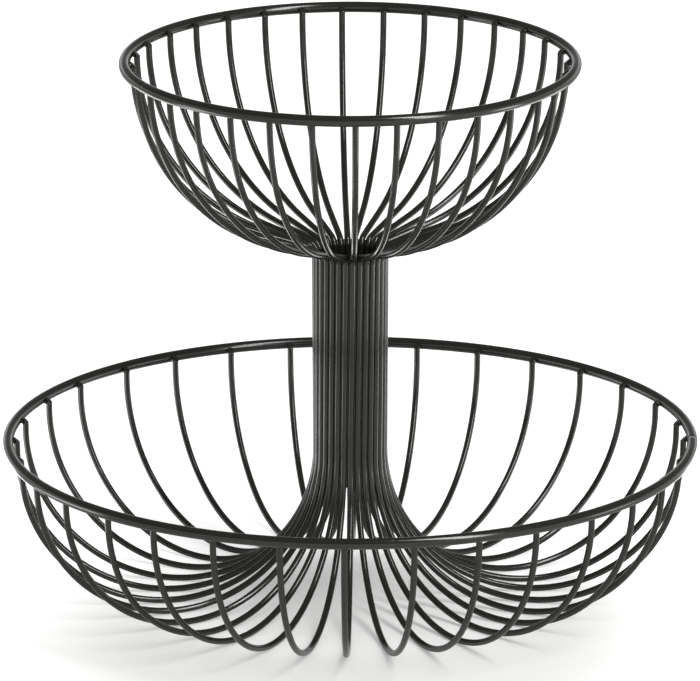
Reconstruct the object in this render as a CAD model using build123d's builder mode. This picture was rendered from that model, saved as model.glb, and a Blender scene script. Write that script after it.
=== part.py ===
from build123d import *
import math
import os

# Tiered wire basket: bent ribs that run from the lower rim, under the lower bowl, up a
# close column and out to the upper rim, welded to two rims and to two rings in the column.
# Millimetres and degrees. The origin is on the table, in the middle, with +Z up.

# Wires, with their coat
rib_wire = 3.0
rim_wire = 5.2
ring_wire = 3.0
rib_count = 32

# Rims, measured to the middle of their wire
lower_rim_radius = 162.4
upper_rim_radius = 105.9

# Column, where the ribs stand side by side; it is a little wider at its head than at its foot
column_gap = 0.18
column_length = 94.0
extra_head_radius = 0.45
ring_inset = 14.0

# Bends and straight stretches of one rib
lower_tail = 5.1
neck_bend_radius = 5.0
neck_straight = 21.0
neck_slope = 16.4
upper_tail = 3.0
end_rise = 1.5
end_chamfer = 0.25

# Where the foot of the first rib stands round the column, counted from +X
first_rib_turn = 0.5

# The upright stretches lean alike: each head stands this much further round than its foot
column_lean = 3.8

# Each rib's bows turn back a little, the lower one about its foot and the upper one about its head
lower_bow_turn = -1.15
upper_bow_turn = -3.25

# The ribs are set and welded by hand, so each bow slips aside by its own share of this turn
rib_slip = 1.0
lower_slip_shares = (
    1, -1, -0.25, 0.5, 0.5, 0, -0.25, -0.25,
    -0.5, 0, -0.25, -0.5, -1, 0, -0.5, 0.75,
    1, 0.75, -0.25, 0, 0.5, -0.75, -0.5, 0,
    -0.5, 0, 0, -0.5, 0.5, 0.5, 0.5, 0.5,
)
upper_slip_shares = (
    0, 0, 1.25, 1, 1, 1, 0.5, 0.75,
    0.75, 0.25, -0.5, -0.5, -0.5, -0.75, 0.25, 0.25,
    0, 0, 0, -0.5, -1, -0.75, -0.5, -0.25,
    -0.25, -0.75, -0.5, 0, 0.25, 1.5, 0, 0,
)

# Air that the welds bridge between two wires that cross
weld_gap = 0.05

# Seats of the ribs against the column and the rims
rib_pitch = 360 / rib_count
half_pitch = math.radians(rib_pitch / 2)
column_radius = (rib_wire + column_gap) / (2 * math.sin(half_pitch))
head_radius = column_radius + extra_head_radius
rim_seat = rim_wire / 2 + weld_gap + rib_wire / 2
lower_reach = lower_rim_radius - rim_seat - column_radius
upper_reach = upper_rim_radius - rim_seat - head_radius

# The lower bow is a half circle between the column and the rim, and it rests on the table
lower_bow_radius = lower_reach / 2
column_foot = rib_wire / 2 + lower_bow_radius
column_head = column_foot + column_length
lower_end = column_foot + lower_tail
lower_rim_height = lower_end - end_rise

# The upper bow takes the width that the neck leaves
slope = math.radians(neck_slope)
neck_width = neck_bend_radius * (1 - math.sin(slope)) + neck_straight * math.cos(slope)
upper_bow_radius = (upper_reach - neck_width) / (1 - math.sin(slope))
neck_rise = neck_bend_radius * math.cos(slope) + neck_straight * math.sin(slope)
upper_end = column_head + neck_rise + upper_bow_radius * math.cos(slope) + upper_tail
upper_rim_height = upper_end - end_rise

# Rings inside the column
lower_ring_height = column_foot + ring_inset
upper_ring_height = column_head - ring_inset


def ring_radius(height):
    """Radius of a ring that lies inside the column's wires at a height."""
    spread = extra_head_radius * (height - column_foot) / column_length
    return column_radius + spread - rib_wire / 2 - weld_gap - ring_wire / 2


def bow_plane(radius, stand, turn, slip_shares, place):
    """Upright plane of a bow, turned about the place where the rib stands round the column."""
    slip = rib_slip * slip_shares[place % len(slip_shares)]
    facing = stand + turn + slip
    return Plane(
        origin=Vector(radius, 0, 0).rotate(Axis.Z, stand),
        x_dir=Vector(1, 0, 0).rotate(Axis.Z, facing),
        z_dir=Vector(0, -1, 0).rotate(Axis.Z, facing),
    )


os.makedirs("parts", exist_ok=True)

# Ribs, each bent from a single length of wire, one for each place round the column
for place in range(rib_count):
    stand = first_rib_turn + place * rib_pitch
    head_stand = stand + column_lean
    foot_plane = bow_plane(column_radius, stand, lower_bow_turn, lower_slip_shares, place)
    head_plane = bow_plane(head_radius, head_stand, upper_bow_turn, upper_slip_shares, place)
    with BuildPart() as rib:
        with BuildLine(foot_plane) as foot_line:
            tail = Line((lower_reach, lower_end), (lower_reach, column_foot))
            lower_bow = CenterArc((lower_bow_radius, column_foot), lower_bow_radius, 0, -180)
        with BuildLine(head_plane) as head_line:
            bend = CenterArc((neck_bend_radius, column_head), neck_bend_radius, 180, neck_slope - 90)
            spoke = PolarLine(bend @ 1, neck_straight, neck_slope)
            bow = JernArc(spoke @ 1, spoke % 1, upper_bow_radius, 90 - neck_slope)
            Line(bow @ 1, (upper_reach, upper_end))
        with BuildLine() as column_line:
            Line(lower_bow @ 1, bend @ 0)
        with BuildSketch(Plane(origin=tail @ 0, z_dir=tail % 0)):
            Circle(rib_wire / 2)
        sweep()
        chamfer(rib.faces().filter_by(GeomType.PLANE).edges(), end_chamfer)
    name = f"rib_wire_{place + 1:02d}"
    rib.part.label = name
    export_step(rib.part, f"parts/{name}.step")

# Lower rim
with BuildPart() as lower_rim:
    with Locations((0, 0, lower_rim_height)):
        Torus(lower_rim_radius, rim_wire / 2)
lower_rim.part.label = "lower_rim"
export_step(lower_rim.part, "parts/lower_rim.step")

# Upper rim
with BuildPart() as upper_rim:
    with Locations((0, 0, upper_rim_height)):
        Torus(upper_rim_radius, rim_wire / 2)
upper_rim.part.label = "upper_rim"
export_step(upper_rim.part, "parts/upper_rim.step")

# Ring near the foot of the column
with BuildPart() as lower_column_ring:
    with Locations((0, 0, lower_ring_height)):
        Torus(ring_radius(lower_ring_height), ring_wire / 2)
lower_column_ring.part.label = "lower_column_ring"
export_step(lower_column_ring.part, "parts/lower_column_ring.step")

# Ring near the head of the column
with BuildPart() as upper_column_ring:
    with Locations((0, 0, upper_ring_height)):
        Torus(ring_radius(upper_ring_height), ring_wire / 2)
upper_column_ring.part.label = "upper_column_ring"
export_step(upper_column_ring.part, "parts/upper_column_ring.step")

rib_edges = foot_line.edges() + column_line.edges() + head_line.edges()
rib_length = sum(edge.length for edge in rib_edges)
print(f"overall height {upper_rim_height + rim_wire / 2:.1f}")
print(f"outer diameters {2 * lower_rim_radius + rim_wire:.1f} and {2 * upper_rim_radius + rim_wire:.1f}")
print(f"column outer diameters {2 * column_radius + rib_wire:.2f} and {2 * head_radius + rib_wire:.2f}")
print(f"rim heights {lower_rim_height:.1f} and {upper_rim_height:.1f}")
print(f"bow radii {lower_bow_radius:.2f} and {upper_bow_radius:.2f}, one rib is {rib_length:.0f} long")
swept = rib_length * math.pi * rib_wire ** 2 / 4
print(f"rib volume {rib.part.volume:.1f} against section times length {swept:.1f}")
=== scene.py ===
import math

import bpy
from bpy.props import FloatProperty, FloatVectorProperty, IntProperty, PointerProperty
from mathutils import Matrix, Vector


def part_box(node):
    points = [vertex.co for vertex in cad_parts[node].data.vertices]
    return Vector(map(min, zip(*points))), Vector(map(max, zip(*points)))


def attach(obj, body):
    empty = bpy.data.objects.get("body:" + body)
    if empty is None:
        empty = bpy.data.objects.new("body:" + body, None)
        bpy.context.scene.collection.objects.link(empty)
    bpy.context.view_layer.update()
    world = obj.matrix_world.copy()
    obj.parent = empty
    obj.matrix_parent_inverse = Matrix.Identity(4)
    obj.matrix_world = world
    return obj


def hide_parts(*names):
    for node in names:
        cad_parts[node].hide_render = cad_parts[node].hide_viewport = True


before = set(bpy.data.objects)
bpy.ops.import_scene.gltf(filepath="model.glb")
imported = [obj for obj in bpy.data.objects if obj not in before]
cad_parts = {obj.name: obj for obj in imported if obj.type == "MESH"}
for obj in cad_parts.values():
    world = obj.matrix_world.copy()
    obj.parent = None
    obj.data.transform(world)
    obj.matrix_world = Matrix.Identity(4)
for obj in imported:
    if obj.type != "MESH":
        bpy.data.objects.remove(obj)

bl_info = {
    "name": "Tiered wire basket",
    "version": (1, 0, 0),
    "blender": (4, 5, 0),
    "location": "View3D > Sidebar > Basket",
    "description": "Dresses a two-tier basket of bent, powder-coated wire and lights it in a white studio",
    "category": "Object",
}

# One millimetre in the frame's metres
MM = 0.001

# The whole basket moves as one body and has one finish
BODY = "root"

# The frame's nodes that the pieces stand for
RIB_NODES = sorted(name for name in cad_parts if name.startswith("rib_wire_"))
RIM_NODES = ("lower_rim", "upper_rim")
COLUMN_RING_NODES = ("lower_column_ring", "upper_column_ring")

# Where the butt weld that closes each rim stands round the axis, counted from +X
SEAM_TURNS = {"lower_rim": math.radians(-1.2), "upper_rim": math.radians(206.2)}

# Distance between the swells of a weld's skin
LUMP_SPACING = 1.6 * MM

# Turns between the points of a wide bow, of a tight bend, and of a plain circle
BOW_STEP = math.radians(3)
BEND_STEP = math.radians(8)
CIRCLE_STEP = math.radians(6)

# How far down from its cut end a rib is trimmed, as a share of its wire's diameter
CUT_SHARE = 1.2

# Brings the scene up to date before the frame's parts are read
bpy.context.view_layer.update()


def from_axis(point):
    """Distance of a point from the basket's upright axis."""
    return math.hypot(point.x, point.y)


def middle(points):
    """Middle of some points."""
    return sum(points, Vector()) / len(points)


def ring_of(node):
    """Height of a ring's middle, radius of its wire's centre line, and its wire's diameter."""
    low, high = (Vector(corner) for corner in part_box(node))
    wire = high.z - low.z
    return (low.z + high.z) / 2, (high.x - low.x - wire) / 2, wire


RINGS = {node: ring_of(node) for node in RIM_NODES + COLUMN_RING_NODES}


def rib_stations(node):
    """Middles of a rib's wire in the frame: at the column's foot and head, and at its two cut ends."""
    # Points closer in height than this belong to the same section of the wire
    touch = 0.05 * MM
    # The frame's mesh is loose triangles, so each of its points is taken once
    unique = {tuple(round(c, 7) for c in v.co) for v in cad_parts[node].data.vertices}
    points = [Vector(p) for p in unique]
    near_axis = min(from_axis(p) for p in points) + RINGS["lower_rim"][2]
    clear_of_column = RINGS["upper_rim"][1]
    # The column stretch is the longest run of the wire that has no points between its ends
    inner = sorted((p for p in points if from_axis(p) < near_axis), key=lambda p: p.z)
    below, above = max(zip(inner, inner[1:]), key=lambda pair: pair[1].z - pair[0].z)
    foot = middle([p for p in inner if abs(p.z - below.z) < touch])
    head = middle([p for p in inner if abs(p.z - above.z) < touch])
    outer = [p for p in points if from_axis(p) > clear_of_column]
    lower_top = max(p.z for p in outer)
    upper_top = max(p.z for p in points)
    lower_end = middle([p for p in outer if abs(p.z - lower_top) < touch])
    upper_end = middle([p for p in points if abs(p.z - upper_top) < touch])
    return foot, head, lower_end, upper_end


STATIONS = {node: rib_stations(node) for node in RIB_NODES}

# A rib's lowest points lie on the table, so its wire is twice as thick as its foot is
# higher than the radius of the half circle under it
first_foot, _, first_end, _ = STATIONS[RIB_NODES[0]]
RIB_WIRE = 2 * (first_foot.z - (first_end.xy - first_foot.xy).length / 2)


def shades(code):
    """Linear red, green and blue of an sRGB hex code."""
    values = [int(code[place:place + 2], 16) / 255 for place in (1, 3, 5)]
    return tuple(v / 12.92 if v <= 0.04045 else ((v + 0.055) / 1.055) ** 2.4 for v in values)


class BasketSizes(bpy.types.PropertyGroup):
    """Sizes of the wire, its bends and its welds, in metres."""

    rib_wire: FloatProperty(
        name="Rib wire", description="Diameter of the wire that the ribs are bent from",
        default=RIB_WIRE, unit="LENGTH")
    neck_bend: FloatProperty(
        name="Neck bend", description="Radius of the tight bend over the column, at the wire's middle",
        default=5.0 * MM, unit="LENGTH")
    neck_straight: FloatProperty(
        name="Neck straight", description="Straight stretch between the neck bend and the upper bow",
        default=21.0 * MM, unit="LENGTH")
    neck_slope: FloatProperty(
        name="Neck slope", description="Rise of the straight stretch above level",
        default=math.radians(16.4), unit="ROTATION")
    end_slant: FloatProperty(
        name="End slant", description="Slope at which each rib is cut, down from its rim",
        default=math.radians(40), unit="ROTATION")
    end_round: FloatProperty(
        name="End rounding", description="Radius that the coat leaves on the edge of a cut wire end",
        default=0.4 * MM, unit="LENGTH")
    sides: IntProperty(
        name="Sides", description="Sides of a rib's or column ring's round section", default=20, min=8)
    rim_sides: IntProperty(
        name="Rim sides", description="Sides of a rim's round section", default=32, min=8)
    bridge_sides: IntProperty(
        name="Bridge sides", description="Sides of the bridging coat's round section", default=8, min=3)
    weld_across: FloatProperty(
        name="Weld width", description="Half width of a weld along the rim",
        default=1.15 * MM, unit="LENGTH")
    weld_deep: FloatProperty(
        name="Weld depth", description="Half depth of a weld between rib and rim",
        default=1.3 * MM, unit="LENGTH")
    weld_tall: FloatProperty(
        name="Weld height", description="Half height of a weld along the rib",
        default=1.5 * MM, unit="LENGTH")
    weld_lumps: FloatProperty(
        name="Weld lumps", description="How far a weld's skin swells and dips",
        default=0.45 * MM, unit="LENGTH")
    bridge_gap: FloatProperty(
        name="Bridged gap", description="Widest gap between column wires that the melted powder closes",
        default=0.5 * MM, unit="LENGTH")
    bridge_bite: FloatProperty(
        name="Bridge bite", description="How far the bridging coat lies on each of its two wires",
        default=0.2 * MM, unit="LENGTH")
    seam_depth: FloatProperty(
        name="Seam depth", description="Depth of the groove at the butt weld that closes a rim",
        default=0.06 * MM, unit="LENGTH")
    seam_width: FloatProperty(
        name="Seam width", description="Width of that groove", default=0.9 * MM, unit="LENGTH")


class BasketFinish(bpy.types.PropertyGroup):
    """The coat on the steel."""

    coat: FloatVectorProperty(
        name="Coat", description="Colour of the powder coat", subtype="COLOR",
        default=shades("#20211b"), min=0.0, max=1.0)
    roughness: FloatProperty(
        name="Roughness", description="Roughness of the cured coat", default=0.17, min=0.0, max=1.0)
    gloss_level: FloatProperty(
        name="Gloss level", description="Strength of the coat's gloss, where 0.5 is plain plastic",
        default=0.7, min=0.0, max=1.0)
    peel_spacing: FloatProperty(
        name="Peel spacing", description="Distance between the swells of the cured powder",
        default=1.1 * MM, unit="LENGTH")
    peel_depth: FloatProperty(
        name="Peel depth", description="Height of those swells", default=0.0012 * MM, unit="LENGTH")


class BasketStudio(bpy.types.PropertyGroup):
    """The white studio round the basket."""

    paper: FloatVectorProperty(
        name="Paper", description="Colour of the seamless paper", subtype="COLOR",
        default=shades("#e3e3e1"), min=0.0, max=1.0)
    paper_reach: FloatProperty(
        name="Paper reach", description="Radius of the paper floor", default=9.0, unit="LENGTH")
    # The paper's glow is painted light; its ramp paints shade in a patch under the basket, set forward
    paper_glow: FloatProperty(
        name="Paper glow", description="What only the camera sees on top of the lit paper round the basket",
        default=0.68, min=0.0, max=1.0)
    # by shade_forward, and paints the key light's shadows white far out
    glow_under: FloatProperty(
        name="Glow under", description="The same, of the shaded paper under the basket",
        default=0.27, min=0.0, max=1.0)
    glow_far: FloatProperty(
        name="Glow far", description="The same, of the paper far out, where the key light fades",
        default=0.85, min=0.0, max=1.0)
    shade_forward: FloatProperty(
        name="Shade forward", description="How far the middle of the shaded paper lies in front",
        default=0.08, unit="LENGTH")
    glow_start: FloatProperty(
        name="Glow start", description="Distance from that middle at which the glow begins to rise",
        default=0.09, unit="LENGTH")
    glow_end: FloatProperty(
        name="Glow end", description="Distance from that middle at which it reaches the paper glow",
        default=0.19, unit="LENGTH")
    daylight: FloatProperty(
        name="Daylight", description="Strength of the light from all round", default=0.45, min=0.0)
    ceiling: FloatProperty(
        name="Ceiling", description="Brightness that the gloss sees overhead, where the wall is 1",
        default=0.15, min=0.0, max=1.0)
    wall_height: FloatProperty(
        name="Wall height", description="Height above the horizon at which the gloss sees the wall end",
        default=math.radians(10), unit="ROTATION")
    key_light: FloatProperty(
        name="Key light", description="Brightness of the tall softbox at the front right",
        default=11.8, min=0.0)
    card_light: FloatProperty(
        name="Card light", description="Brightness of the strips of white card on the paper",
        default=2.7, min=0.0)


def add_node(tree, kind, settings=(), inputs=()):
    """Adds a node, sets its own fields, and fills or links its inputs by name or place."""
    made = tree.nodes.new(kind)
    for name, value in dict(settings).items():
        setattr(made, name, value)
    for place, value in dict(inputs).items():
        if isinstance(value, bpy.types.NodeSocket):
            tree.links.new(value, made.inputs[place])
        else:
            made.inputs[place].default_value = value
    return made


def add_socket(tree, name, kind, way="INPUT"):
    """Adds a named input or output to a node tree."""
    return tree.interface.new_socket(name=name, in_out=way, socket_type=kind)


def powder_coat(name, peel_share=1.0, rough_share=1.0):
    """Black polyester powder, sprayed on and baked: it melts into a satin skin with faint swells
    a millimetre apart, so highlights run along the wire as soft lines with a fine grain."""
    finish = bpy.context.scene.basket_finish
    roughness = finish.roughness * rough_share
    # Tone and gloss drift by these shares either way, over this many swells
    tone_drift, rough_drift, drift_span = 0.15, 0.12, 40
    # Most of a noise lies between these two values
    noise_low, noise_high = 0.3, 0.7
    made = bpy.data.materials.new(name)
    made.use_nodes = True
    tree = made.node_tree
    tree.nodes.clear()
    place = add_node(tree, "ShaderNodeTexCoord").outputs["Object"]
    peel = add_node(tree, "ShaderNodeTexNoise", inputs={
        "Vector": place, "Scale": 1 / finish.peel_spacing, "Detail": 2.0, "Roughness": 0.45})
    drift = add_node(tree, "ShaderNodeTexNoise", inputs={
        "Vector": place, "Scale": 1 / (drift_span * finish.peel_spacing), "Detail": 3.0, "Roughness": 0.5})
    swell = add_node(tree, "ShaderNodeBump", inputs={
        "Strength": 1.0, "Distance": finish.peel_depth * peel_share, "Height": peel.outputs["Fac"]})
    rough = add_node(tree, "ShaderNodeMapRange", inputs={
        "Value": drift.outputs["Fac"], "From Min": noise_low, "From Max": noise_high,
        "To Min": roughness * (1 - rough_drift), "To Max": roughness * (1 + rough_drift)})
    tone = add_node(tree, "ShaderNodeMix", {"data_type": "RGBA"}, {
        "Factor": drift.outputs["Fac"],
        "A": tuple(c * (1 - tone_drift) for c in finish.coat) + (1.0,),
        "B": tuple(c * (1 + tone_drift) for c in finish.coat) + (1.0,)})
    skin = add_node(tree, "ShaderNodeBsdfPrincipled", inputs={
        "Base Color": tone.outputs["Result"], "Roughness": rough.outputs["Result"], "IOR": 1.5,
        "Specular IOR Level": finish.gloss_level, "Normal": swell.outputs["Normal"]})
    add_node(tree, "ShaderNodeOutputMaterial", inputs={"Surface": skin.outputs["BSDF"]})
    return made


def wire_tree():
    """Geometry Nodes tree: a round wire along its path, as thick at each point as the path says."""
    tree = bpy.data.node_groups.new("Wire along its path", "GeometryNodeTree")
    add_socket(tree, "Path", "NodeSocketGeometry")
    names = {}
    names["wire"] = add_socket(tree, "Wire diameter", "NodeSocketFloat").identifier
    names["sides"] = add_socket(tree, "Sides", "NodeSocketInt").identifier
    names["finish"] = add_socket(tree, "Finish", "NodeSocketMaterial").identifier
    add_socket(tree, "Wire", "NodeSocketGeometry", "OUTPUT")
    given = add_node(tree, "NodeGroupInput").outputs
    half = add_node(tree, "ShaderNodeMath", {"operation": "MULTIPLY"}, {
        0: given["Wire diameter"], 1: 0.5})
    section = add_node(tree, "GeometryNodeCurvePrimitiveCircle", inputs={
        "Resolution": given["Sides"], "Radius": half.outputs[0]})
    share = add_node(tree, "GeometryNodeInputRadius")
    swept = add_node(tree, "GeometryNodeCurveToMesh", inputs={
        "Curve": given["Path"], "Profile Curve": section.outputs["Curve"],
        "Scale": share.outputs[0], "Fill Caps": True})
    smooth = add_node(tree, "GeometryNodeSetShadeSmooth", inputs={"Geometry": swept.outputs["Mesh"]})
    real = add_node(tree, "GeometryNodeRealizeInstances", inputs={
        "Geometry": smooth.outputs["Geometry"]})
    coated = add_node(tree, "GeometryNodeSetMaterial", inputs={
        "Geometry": real.outputs["Geometry"], "Material": given["Finish"]})
    add_node(tree, "NodeGroupOutput", inputs={0: coated.outputs["Geometry"]})
    return tree, names


def weld_tree():
    """Geometry Nodes tree: a lumpy weld at each point, its depth towards the point's outward side."""
    tree = bpy.data.node_groups.new("Welds at points", "GeometryNodeTree")
    add_socket(tree, "Points", "NodeSocketGeometry")
    names = {}
    names["size"] = add_socket(tree, "Half sizes", "NodeSocketVector").identifier
    names["lumps"] = add_socket(tree, "Lumps", "NodeSocketFloat").identifier
    names["seed"] = add_socket(tree, "Seed", "NodeSocketInt").identifier
    names["finish"] = add_socket(tree, "Finish", "NodeSocketMaterial").identifier
    add_socket(tree, "Welds", "NodeSocketGeometry", "OUTPUT")
    given = add_node(tree, "NodeGroupInput").outputs
    bead = add_node(tree, "GeometryNodeMeshIcoSphere", inputs={"Radius": 1.0, "Subdivisions": 3})
    outward = add_node(tree, "GeometryNodeInputNamedAttribute", {"data_type": "FLOAT_VECTOR"}, {
        "Name": "outward"})
    facing = add_node(tree, "FunctionNodeAxesToRotation", {"primary_axis": "Z", "secondary_axis": "Y"}, {
        "Primary Axis": (0.0, 0.0, 1.0), "Secondary Axis": outward.outputs[0]})
    # Each weld's half sizes are drawn between these shares of the given ones
    least, most = (0.8, 0.9, 0.8), (1.2, 1.1, 1.15)
    spread = add_node(tree, "FunctionNodeRandomValue", {"data_type": "FLOAT_VECTOR"}, {
        0: least, 1: most, "Seed": given["Seed"]})
    size = add_node(tree, "ShaderNodeVectorMath", {"operation": "MULTIPLY"}, {
        0: given["Half sizes"], 1: spread.outputs[0]})
    placed = add_node(tree, "GeometryNodeInstanceOnPoints", inputs={
        "Points": given["Points"], "Instance": bead.outputs["Mesh"],
        "Rotation": facing.outputs["Rotation"], "Scale": size.outputs["Vector"]})
    real = add_node(tree, "GeometryNodeRealizeInstances", inputs={
        "Geometry": placed.outputs["Instances"]})
    place = add_node(tree, "GeometryNodeInputPosition")
    noise = add_node(tree, "ShaderNodeTexNoise", inputs={
        "Vector": place.outputs["Position"], "Scale": 1 / LUMP_SPACING, "Detail": 1.0})
    about = add_node(tree, "ShaderNodeMath", {"operation": "SUBTRACT"}, {
        0: noise.outputs["Fac"], 1: 0.5})
    rise = add_node(tree, "ShaderNodeMath", {"operation": "MULTIPLY"}, {
        0: about.outputs[0], 1: given["Lumps"]})
    normal = add_node(tree, "GeometryNodeInputNormal")
    step = add_node(tree, "ShaderNodeVectorMath", {"operation": "SCALE"}, {
        0: normal.outputs["Normal"], "Scale": rise.outputs[0]})
    lumpy = add_node(tree, "GeometryNodeSetPosition", inputs={
        "Geometry": real.outputs["Geometry"], "Offset": step.outputs["Vector"]})
    smooth = add_node(tree, "GeometryNodeSetShadeSmooth", inputs={"Geometry": lumpy.outputs["Geometry"]})
    coated = add_node(tree, "GeometryNodeSetMaterial", inputs={
        "Geometry": smooth.outputs["Geometry"], "Material": given["Finish"]})
    add_node(tree, "NodeGroupOutput", inputs={0: coated.outputs["Geometry"]})
    return tree, names


def grown(name, source, tree, values):
    """Plain mesh object that a Geometry Nodes tree makes of a curve or mesh."""
    holder = bpy.data.objects.new(name + "_source", source)
    bpy.context.scene.collection.objects.link(holder)
    growth = holder.modifiers.new("Growth", "NODES")
    growth.node_group = tree
    for identifier, value in values.items():
        growth[identifier] = value
    graph = bpy.context.evaluated_depsgraph_get()
    mesh = bpy.data.meshes.new_from_object(holder.evaluated_get(graph), depsgraph=graph)
    mesh.name = name
    holder.modifiers.remove(growth)
    bpy.data.objects.remove(holder)
    if not mesh.polygons:
        raise RuntimeError(f"{name} came out with no faces")
    made = bpy.data.objects.new(name, mesh)
    bpy.context.scene.collection.objects.link(made)
    return made


def fitted(piece, *nodes):
    """Rides the piece on the basket's body and hides the nodes that it stands for."""
    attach(piece, BODY)
    if nodes:
        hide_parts(*nodes)


def path_curve(name, points, shares, closed):
    """Curve of one line of straight steps."""
    curve = bpy.data.curves.new(name, "CURVE")
    curve.dimensions = "3D"
    add_line(curve, points, shares, closed)
    return curve


def add_line(curve, points, shares, closed):
    """Adds straight steps through points, with the wire's share of its full thickness at each."""
    line = curve.splines.new("POLY")
    line.points.add(len(points) - 1)
    for spot, point, share in zip(line.points, points, shares):
        spot.co = (*point, 1.0)
        spot.radius = share
    line.use_cyclic_u = closed


def arc_points(centre, radius, start, sweep, step):
    """Points of a flat arc, both ends included, no farther apart than a step of its turn."""
    count = max(2, math.ceil(abs(sweep) / step))
    turns = [start + sweep * place / count for place in range(count + 1)]
    return [(centre[0] + radius * math.cos(t), centre[1] + radius * math.sin(t)) for t in turns]


def rib_profile(foot, head, lower_end, upper_end, sizes):
    """The two halves of a rib's line, each in its own upright plane: distance out, and height."""
    lower_reach = (lower_end.xy - foot.xy).length
    upper_reach = (upper_end.xy - head.xy).length
    bow = lower_reach / 2
    tail = CUT_SHARE * sizes.rib_wire
    below = [(lower_reach, lower_end.z), (lower_reach, lower_end.z - tail)]
    below += arc_points((bow, foot.z), bow, 0, -math.pi, BOW_STEP)
    slope, bend, straight = sizes.neck_slope, sizes.neck_bend, sizes.neck_straight
    width = bend * (1 - math.sin(slope)) + straight * math.cos(slope)
    rise = bend * math.cos(slope) + straight * math.sin(slope)
    upper_bow = (upper_reach - width) / (1 - math.sin(slope))
    centre = (upper_reach - upper_bow, head.z + rise + upper_bow * math.cos(slope))
    quarter = math.pi / 2
    above = arc_points((bend, head.z), bend, math.pi, slope - quarter, BEND_STEP)
    above += arc_points(centre, upper_bow, slope - quarter, quarter - slope, BOW_STEP)
    above.append((upper_reach, upper_end.z))
    if above[-1][1] - above[-2][1] > tail:
        above.insert(-1, (upper_reach, upper_end.z - tail))
    return below, above


def in_space(profile, column, end):
    """Points of a rib's half, in the upright plane through its column stretch and its end."""
    outward = (end.xy - column.xy).to_3d().normalized()
    return [Vector((column.x, column.y, height)) + outward * out for out, height in profile]


def rounded_ends(points, radius, rounding):
    """Points and thickness shares of a wire whose two cut ends have rounded edges."""
    # Places along a rounding, as shares of it, closest together at the cut face
    steps = (0.0, 0.12, 0.35, 0.65, 1.0)
    shares = [1 - rounding * (1 - math.sqrt(1 - (1 - s) ** 2)) / radius for s in steps]
    first, last = points[0], points[-1]
    inward_first = (points[1] - first).normalized()
    inward_last = (points[-2] - last).normalized()
    start = [first + inward_first * rounding * s for s in steps]
    end = [last + inward_last * rounding * s for s in reversed(steps)]
    full = [1.0] * (len(points) - 2)
    return start + points[1:-1] + end, shares + full + shares[::-1]


def slant_cut(mesh, end, wire, slant):
    """Lowers the inner side of a rib's upright end, so that its cut slopes down from the rim."""
    outward = end.xy.to_3d().normalized()
    reach = CUT_SHARE * wire
    for vertex in mesh.vertices:
        offset = vertex.co - end
        if abs(offset.x) < wire and abs(offset.y) < wire and -reach < offset.z < wire:
            inset = max(0.0, wire / 2 - offset.dot(outward))
            share = 1 + offset.z / reach
            vertex.co.z -= inset * math.tan(slant) * share


class BASKET_OT_ribs(bpy.types.Operator):
    """Bends a smooth wire for each rib, where the frame's rib stands"""

    bl_idname = "basket.ribs"
    bl_label = "Ribs"

    def execute(self, context):
        sizes = context.scene.basket_sizes
        tree, names = wire_tree()
        coat = powder_coat("Satin black powder coat")
        for node in RIB_NODES:
            foot, head, lower_end, upper_end = STATIONS[node]
            below, above = rib_profile(foot, head, lower_end, upper_end, sizes)
            points = in_space(below, foot, lower_end) + in_space(above, head, upper_end)
            points, shares = rounded_ends(points, sizes.rib_wire / 2, sizes.end_round)
            name = node.replace("rib_wire", "rib")
            curve = path_curve(name, points, shares, False)
            rib = grown(name, curve, tree, {
                names["wire"]: sizes.rib_wire, names["sides"]: sizes.sides, names["finish"]: coat})
            slant_cut(rib.data, lower_end, sizes.rib_wire, sizes.end_slant)
            slant_cut(rib.data, upper_end, sizes.rib_wire, sizes.end_slant)
            fitted(rib, node)
        return {"FINISHED"}


def rim_points(height, radius, seam_turn, wire, sizes):
    """Points of a rim with its butt weld, and the wire's share of its full thickness at each."""
    # Points round the whole rim, and steps on each side of its seam's middle
    count, seam_count = 300, 4
    seam_half = sizes.seam_width / 2 / radius
    points, shares = [], []
    near = [seam_half * place / seam_count for place in range(-seam_count, seam_count + 1)]
    far = [2 * math.pi * place / count for place in range(1, count)]
    far = [t for t in far if seam_half < t < 2 * math.pi - seam_half]
    for turn in near + far:
        dip = max(0.0, math.cos(turn / seam_half * math.pi / 2)) if abs(turn) <= seam_half else 0.0
        angle = seam_turn + turn
        points.append(Vector((radius * math.cos(angle), radius * math.sin(angle), height)))
        shares.append(1 - dip * sizes.seam_depth / (wire / 2))
    return points, shares


class BASKET_OT_rims(bpy.types.Operator):
    """Draws both rims, each closed by a ground butt weld"""

    bl_idname = "basket.rims"
    bl_label = "Rims"

    def execute(self, context):
        sizes = context.scene.basket_sizes
        tree, names = wire_tree()
        coat = powder_coat("Satin black powder coat on rims")
        for node in RIM_NODES:
            height, radius, wire = RINGS[node]
            points, shares = rim_points(height, radius, SEAM_TURNS[node], wire, sizes)
            curve = path_curve(node, points, shares, True)
            rim = grown(node + "_wire", curve, tree, {
                names["wire"]: wire, names["sides"]: sizes.rim_sides, names["finish"]: coat})
            fitted(rim, node)
        return {"FINISHED"}


class BASKET_OT_column_rings(bpy.types.Operator):
    """Draws the two rings that bind the ribs inside the column"""

    bl_idname = "basket.column_rings"
    bl_label = "Column rings"

    def execute(self, context):
        sizes = context.scene.basket_sizes
        tree, names = wire_tree()
        coat = powder_coat("Satin black powder coat in the column")
        for node in COLUMN_RING_NODES:
            height, radius, wire = RINGS[node]
            points = arc_points((0.0, 0.0), radius, 0.0, 2 * math.pi, CIRCLE_STEP)[:-1]
            points = [Vector((x, y, height)) for x, y in points]
            curve = path_curve(node, points, [1.0] * len(points), True)
            ring = grown(node + "_wire", curve, tree, {
                names["wire"]: wire, names["sides"]: sizes.sides, names["finish"]: coat})
            fitted(ring, node)
        return {"FINISHED"}


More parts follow.
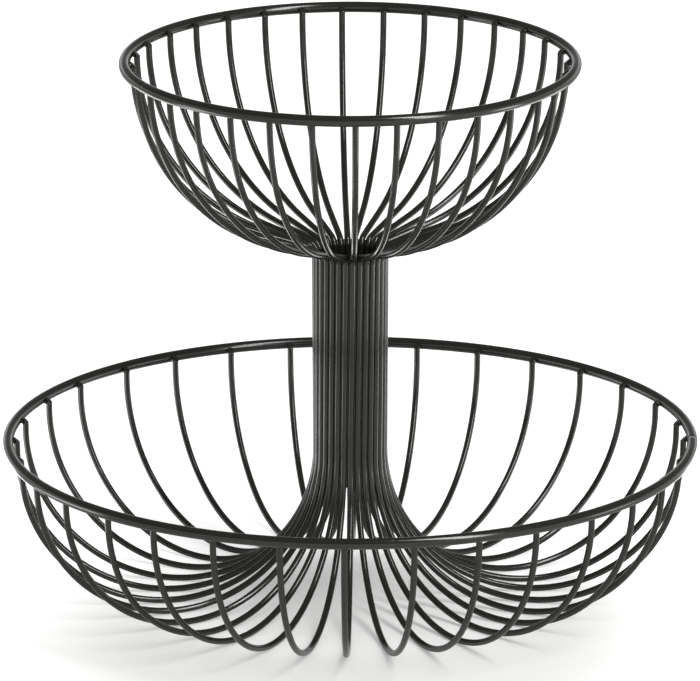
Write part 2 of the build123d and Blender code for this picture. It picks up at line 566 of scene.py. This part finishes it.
def fanned_out(place, apart, bow, widest, steps):
    """Steps out along a bow of the ribs, as far as two of them stand no wider apart than given, and
    the heights that go with them."""
    outward = max(0.0, from_axis(place) * (widest / apart - 1))
    fan = math.acos(max(-1.0, 1 - outward / bow))
    turns = [fan * step / steps for step in range(1, steps + 1)]
    way = place.xy.to_3d().normalized()
    return [(way * bow * (1 - math.cos(turn)), bow * math.sin(turn)) for turn in turns]


def bridge_path(rib, neighbour, sizes):
    """Line between two neighbouring ribs, for as far as the coat bridges the gap between them."""
    foot = (STATIONS[rib][0] + STATIONS[neighbour][0]) / 2
    head = (STATIONS[rib][1] + STATIONS[neighbour][1]) / 2
    foot_apart = (STATIONS[rib][0] - STATIONS[neighbour][0]).length
    head_apart = (STATIONS[rib][1] - STATIONS[neighbour][1]).length
    bow = (STATIONS[rib][2].xy - STATIONS[rib][0].xy).length / 2
    widest = sizes.rib_wire + sizes.bridge_gap
    steps = 6
    below = fanned_out(foot, foot_apart, bow, widest, steps)
    above = fanned_out(head, head_apart, sizes.neck_bend, widest, steps)
    path = [foot + out - Vector((0.0, 0.0, rise)) for out, rise in reversed(below)]
    path += [foot + (head - foot) * step / steps for step in range(steps + 1)]
    return path + [head + out + Vector((0.0, 0.0, rise)) for out, rise in above]


class BASKET_OT_coat_bridges(bpy.types.Operator):
    """Fills the narrow gaps between the column's wires, which the melted powder bridges"""

    bl_idname = "basket.coat_bridges"
    bl_label = "Coat bridges"

    def execute(self, context):
        sizes = context.scene.basket_sizes
        tree, names = wire_tree()
        coat = powder_coat("Powder coat pooled between wires", peel_share=1.5, rough_share=1.4)
        curve = bpy.data.curves.new("coat_bridges", "CURVE")
        curve.dimensions = "3D"
        for rib, neighbour in zip(RIB_NODES, RIB_NODES[1:] + RIB_NODES[:1]):
            points = bridge_path(rib, neighbour, sizes)
            add_line(curve, points, [1.0] * len(points), False)
        thickness = sizes.bridge_gap + 2 * sizes.bridge_bite
        bridges = grown("coat_bridges", curve, tree, {
            names["wire"]: thickness, names["sides"]: sizes.bridge_sides, names["finish"]: coat})
        fitted(bridges)
        return {"FINISHED"}


class BASKET_OT_welds(bpy.types.Operator):
    """Sets a small weld wherever a rib meets a rim"""

    bl_idname = "basket.welds"
    bl_label = "Welds"

    def execute(self, context):
        sizes = context.scene.basket_sizes
        tree, names = weld_tree()
        coat = powder_coat("Powder coat over weld", peel_share=2.5, rough_share=1.1)
        for seed, node in enumerate(RIM_NODES):
            height, radius, wire = RINGS[node]
            ends = [STATIONS[rib][2 + seed] for rib in RIB_NODES]
            outs = [end.xy.to_3d().normalized() for end in ends]
            # A weld sits where rib and rim touch, a little below the middle of the rim
            seat = radius - wire / 2
            sunk = Vector((0.0, 0.0, height - 0.1 * wire))
            spots = bpy.data.meshes.new(node + "_weld_spots")
            spots.from_pydata([out * seat + sunk for out in outs], [], [])
            outward = spots.attributes.new("outward", "FLOAT_VECTOR", "POINT")
            for value, out in zip(outward.data, outs):
                value.vector = out
            welds = grown(node + "_welds", spots, tree, {
                names["size"]: (sizes.weld_across, sizes.weld_deep, sizes.weld_tall),
                names["lumps"]: sizes.weld_lumps, names["seed"]: seed, names["finish"]: coat})
            fitted(welds)
        return {"FINISHED"}


def softbox(name, azimuth, elevation, distance, size, radiance, aim, turn=0.0):
    """Area lamp that shines at aim, from an azimuth counted from +X and an elevation. One that lies
    flat can be turned about the upright."""
    lamp = bpy.data.lights.new(name, "AREA")
    lamp.shape = "RECTANGLE"
    lamp.size, lamp.size_y = size
    lamp.energy = radiance * math.pi * size[0] * size[1]
    stand = bpy.data.objects.new(name, lamp)
    level = math.cos(elevation)
    way = Vector((math.cos(azimuth) * level, math.sin(azimuth) * level, math.sin(elevation)))
    stand.location = aim + way * distance
    stand.rotation_euler = way.to_track_quat("Z", "Y").to_euler()
    stand.rotation_euler.z += turn
    stand.visible_camera = False
    bpy.context.scene.collection.objects.link(stand)


def lay_paper(studio):
    """Seamless paper, dead matt and pale, so that shadows lie soft on it. The camera alone sees it
    glow, which makes it white round the basket. That glow is painted light: it is weaker in a patch
    under the basket, set a little in front, which paints shade there over the real shadow, and
    stronger far out, where it paints the key light's shadows white."""
    paper = bpy.data.materials.new("Seamless white paper")
    paper.use_nodes = True
    tree = paper.node_tree
    tree.nodes.clear()
    far_out = 10 * studio.glow_end
    rays = add_node(tree, "ShaderNodeLightPath")
    place = add_node(tree, "ShaderNodeTexCoord").outputs["Object"]
    moved = add_node(tree, "ShaderNodeVectorMath", {"operation": "ADD"}, {
        0: place, 1: (0.0, studio.shade_forward, 0.0)})
    out = add_node(tree, "ShaderNodeVectorMath", {"operation": "LENGTH"}, {
        0: moved.outputs["Vector"]}).outputs["Value"]
    # Painted shade: the glow is weakest in a patch round the basket's foot, its middle set a little in
    # front
    near = add_node(tree, "ShaderNodeMapRange", {"interpolation_type": "SMOOTHSTEP"}, {
        "Value": out, "From Min": studio.glow_start, "From Max": studio.glow_end,
        "To Min": studio.glow_under, "To Max": studio.paper_glow})
    # Painted light: far out the glow grows further and whitens the key light's shadows on the paper
    far = add_node(tree, "ShaderNodeMapRange", inputs={
        "Value": out, "From Min": studio.glow_end, "From Max": far_out,
        "To Min": 0.0, "To Max": studio.glow_far - studio.paper_glow})
    both = add_node(tree, "ShaderNodeMath", {"operation": "ADD"}, {
        0: near.outputs["Result"], 1: far.outputs["Result"]})
    glow = add_node(tree, "ShaderNodeMath", {"operation": "MULTIPLY"}, {
        0: rays.outputs["Is Camera Ray"], 1: both.outputs[0]})
    skin = add_node(tree, "ShaderNodeBsdfPrincipled", inputs={
        "Base Color": (*studio.paper, 1.0), "Roughness": 0.9, "Specular IOR Level": 0.2,
        "Emission Color": (1.0, 1.0, 1.0, 1.0), "Emission Strength": glow.outputs[0]})
    add_node(tree, "ShaderNodeOutputMaterial", inputs={"Surface": skin.outputs["BSDF"]})
    corners = arc_points((0.0, 0.0), studio.paper_reach, 0.0, 2 * math.pi, CIRCLE_STEP)[:-1]
    mesh = bpy.data.meshes.new("paper_floor")
    mesh.from_pydata([(x, y, 0.0) for x, y in corners], [], [list(range(len(corners)))])
    mesh.materials.append(paper)
    floor = bpy.data.objects.new("paper_floor", mesh)
    bpy.context.scene.collection.objects.link(floor)


def light_all_round(studio):
    """Even daylight. The camera sees plain white, and the gloss sees a white wall with a soft upper
    edge and a dim ceiling over it."""
    world = bpy.data.worlds.new("White studio")
    bpy.context.scene.world = world
    world.use_nodes = True
    tree = world.node_tree
    tree.nodes.clear()
    edge_low, edge_high = 0.5 * studio.wall_height, 1.5 * studio.wall_height
    rays = add_node(tree, "ShaderNodeLightPath")
    way = add_node(tree, "ShaderNodeTexCoord").outputs["Generated"]
    rise = add_node(tree, "ShaderNodeSeparateXYZ", inputs={"Vector": way}).outputs["Z"]
    walls = add_node(tree, "ShaderNodeMapRange", {"interpolation_type": "SMOOTHSTEP"}, {
        "Value": rise, "From Min": math.sin(edge_low), "From Max": math.sin(edge_high),
        "To Min": 1.0, "To Max": studio.ceiling})
    plain = add_node(tree, "ShaderNodeMapRange", inputs={
        "Value": rays.outputs["Is Camera Ray"], "To Min": studio.daylight, "To Max": 1.0})
    level = add_node(tree, "ShaderNodeMix", {"data_type": "FLOAT"}, {
        "Factor": rays.outputs["Is Glossy Ray"], "A": plain.outputs["Result"],
        "B": walls.outputs["Result"]})
    sky = add_node(tree, "ShaderNodeBackground", inputs={
        "Color": (1.0, 1.0, 1.0, 1.0), "Strength": level.outputs["Result"]})
    add_node(tree, "ShaderNodeOutputWorld", inputs={"Surface": sky.outputs["Background"]})


def hang_lights(studio):
    """A tall softbox at the front right, and strips of white card that lie face up on the paper and
    draw the bright lines along the upright wires."""
    key_azimuth, key_elevation = math.radians(-50), math.radians(40)
    key_distance, key_size = 2.0, (0.4, 1.9)
    basket_middle = Vector((0.0, 0.0, 0.15))
    softbox("front_right_softbox", key_azimuth, key_elevation, key_distance, key_size,
            studio.key_light, basket_middle)
    # Each card's name, its turn about the axis, its distance from the axis, and its share of the light
    cards = (("back_left_card", 138, 0.41, 1.25), ("back_right_card", 42, 0.4, 0.95),
             ("left_card", 186, 0.51, 1.3), ("front_right_card", -8, 0.7, 2.4))
    # A card stands this far over the paper and shines straight up at a point this high
    card_lift, card_aim = 0.002, 1.0
    card_size, from_below = (0.5, 0.16), math.radians(-90)
    for name, degrees, out, share in cards:
        turn = math.radians(degrees)
        above = Vector((out * math.cos(turn), out * math.sin(turn), card_aim))
        softbox(name, 0.0, from_below, card_aim - card_lift, card_size,
                share * studio.card_light, above, turn)


def set_camera():
    """Long lens at the photograph's viewing angle."""
    image_width_px = 700
    focal_px = 8500
    target = Vector((-0.1 * MM, 0.0, 124.9 * MM))
    pitch = math.radians(16.54)
    distance = 4.0225
    camera = bpy.data.cameras.new("camera")
    camera.sensor_width = 36.0
    camera.lens = camera.sensor_width * focal_px / image_width_px
    camera.clip_end = 100.0
    stand = bpy.data.objects.new("camera", camera)
    back = Vector((0.0, -math.cos(pitch), math.sin(pitch)))
    stand.location = target + back * distance
    stand.rotation_euler = back.to_track_quat("Z", "Y").to_euler()
    bpy.context.scene.collection.objects.link(stand)
    bpy.context.scene.camera = stand


class BASKET_OT_studio(bpy.types.Operator):
    """Lays the paper floor, hangs the lights and sets the camera"""

    bl_idname = "basket.studio"
    bl_label = "Studio"

    def execute(self, context):
        context.scene.view_settings.view_transform = "Standard"
        studio = context.scene.basket_studio
        lay_paper(studio)
        light_all_round(studio)
        hang_lights(studio)
        set_camera()
        return {"FINISHED"}


class BASKET_PT_panel(bpy.types.Panel):
    """Lists the basket's pieces and settings"""

    bl_label = "Tiered wire basket"
    bl_idname = "BASKET_PT_panel"
    bl_space_type = "VIEW_3D"
    bl_region_type = "UI"
    bl_category = "Basket"

    def draw(self, context):
        scene = context.scene
        for group in (scene.basket_sizes, scene.basket_finish, scene.basket_studio):
            box = self.layout.box()
            for name in group.bl_rna.properties.keys():
                if name not in ("rna_type", "name"):
                    box.prop(group, name)
        for step in STEPS:
            self.layout.operator(step.bl_idname)


STEPS = (
    BASKET_OT_ribs, BASKET_OT_rims, BASKET_OT_column_rings, BASKET_OT_coat_bridges, BASKET_OT_welds,
    BASKET_OT_studio)
CLASSES = (BasketSizes, BasketFinish, BasketStudio, *STEPS, BASKET_PT_panel)


def register():
    for kind in CLASSES:
        bpy.utils.register_class(kind)
    bpy.types.Scene.basket_sizes = PointerProperty(type=BasketSizes)
    bpy.types.Scene.basket_finish = PointerProperty(type=BasketFinish)
    bpy.types.Scene.basket_studio = PointerProperty(type=BasketStudio)


def unregister():
    del bpy.types.Scene.basket_studio
    del bpy.types.Scene.basket_finish
    del bpy.types.Scene.basket_sizes
    for kind in reversed(CLASSES):
        bpy.utils.unregister_class(kind)


def main():
    """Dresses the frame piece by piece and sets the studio."""
    register()
    for step in STEPS:
        group, name = step.bl_idname.split(".")
        getattr(getattr(bpy.ops, group), name)()


if __name__ == "__main__":
    main()
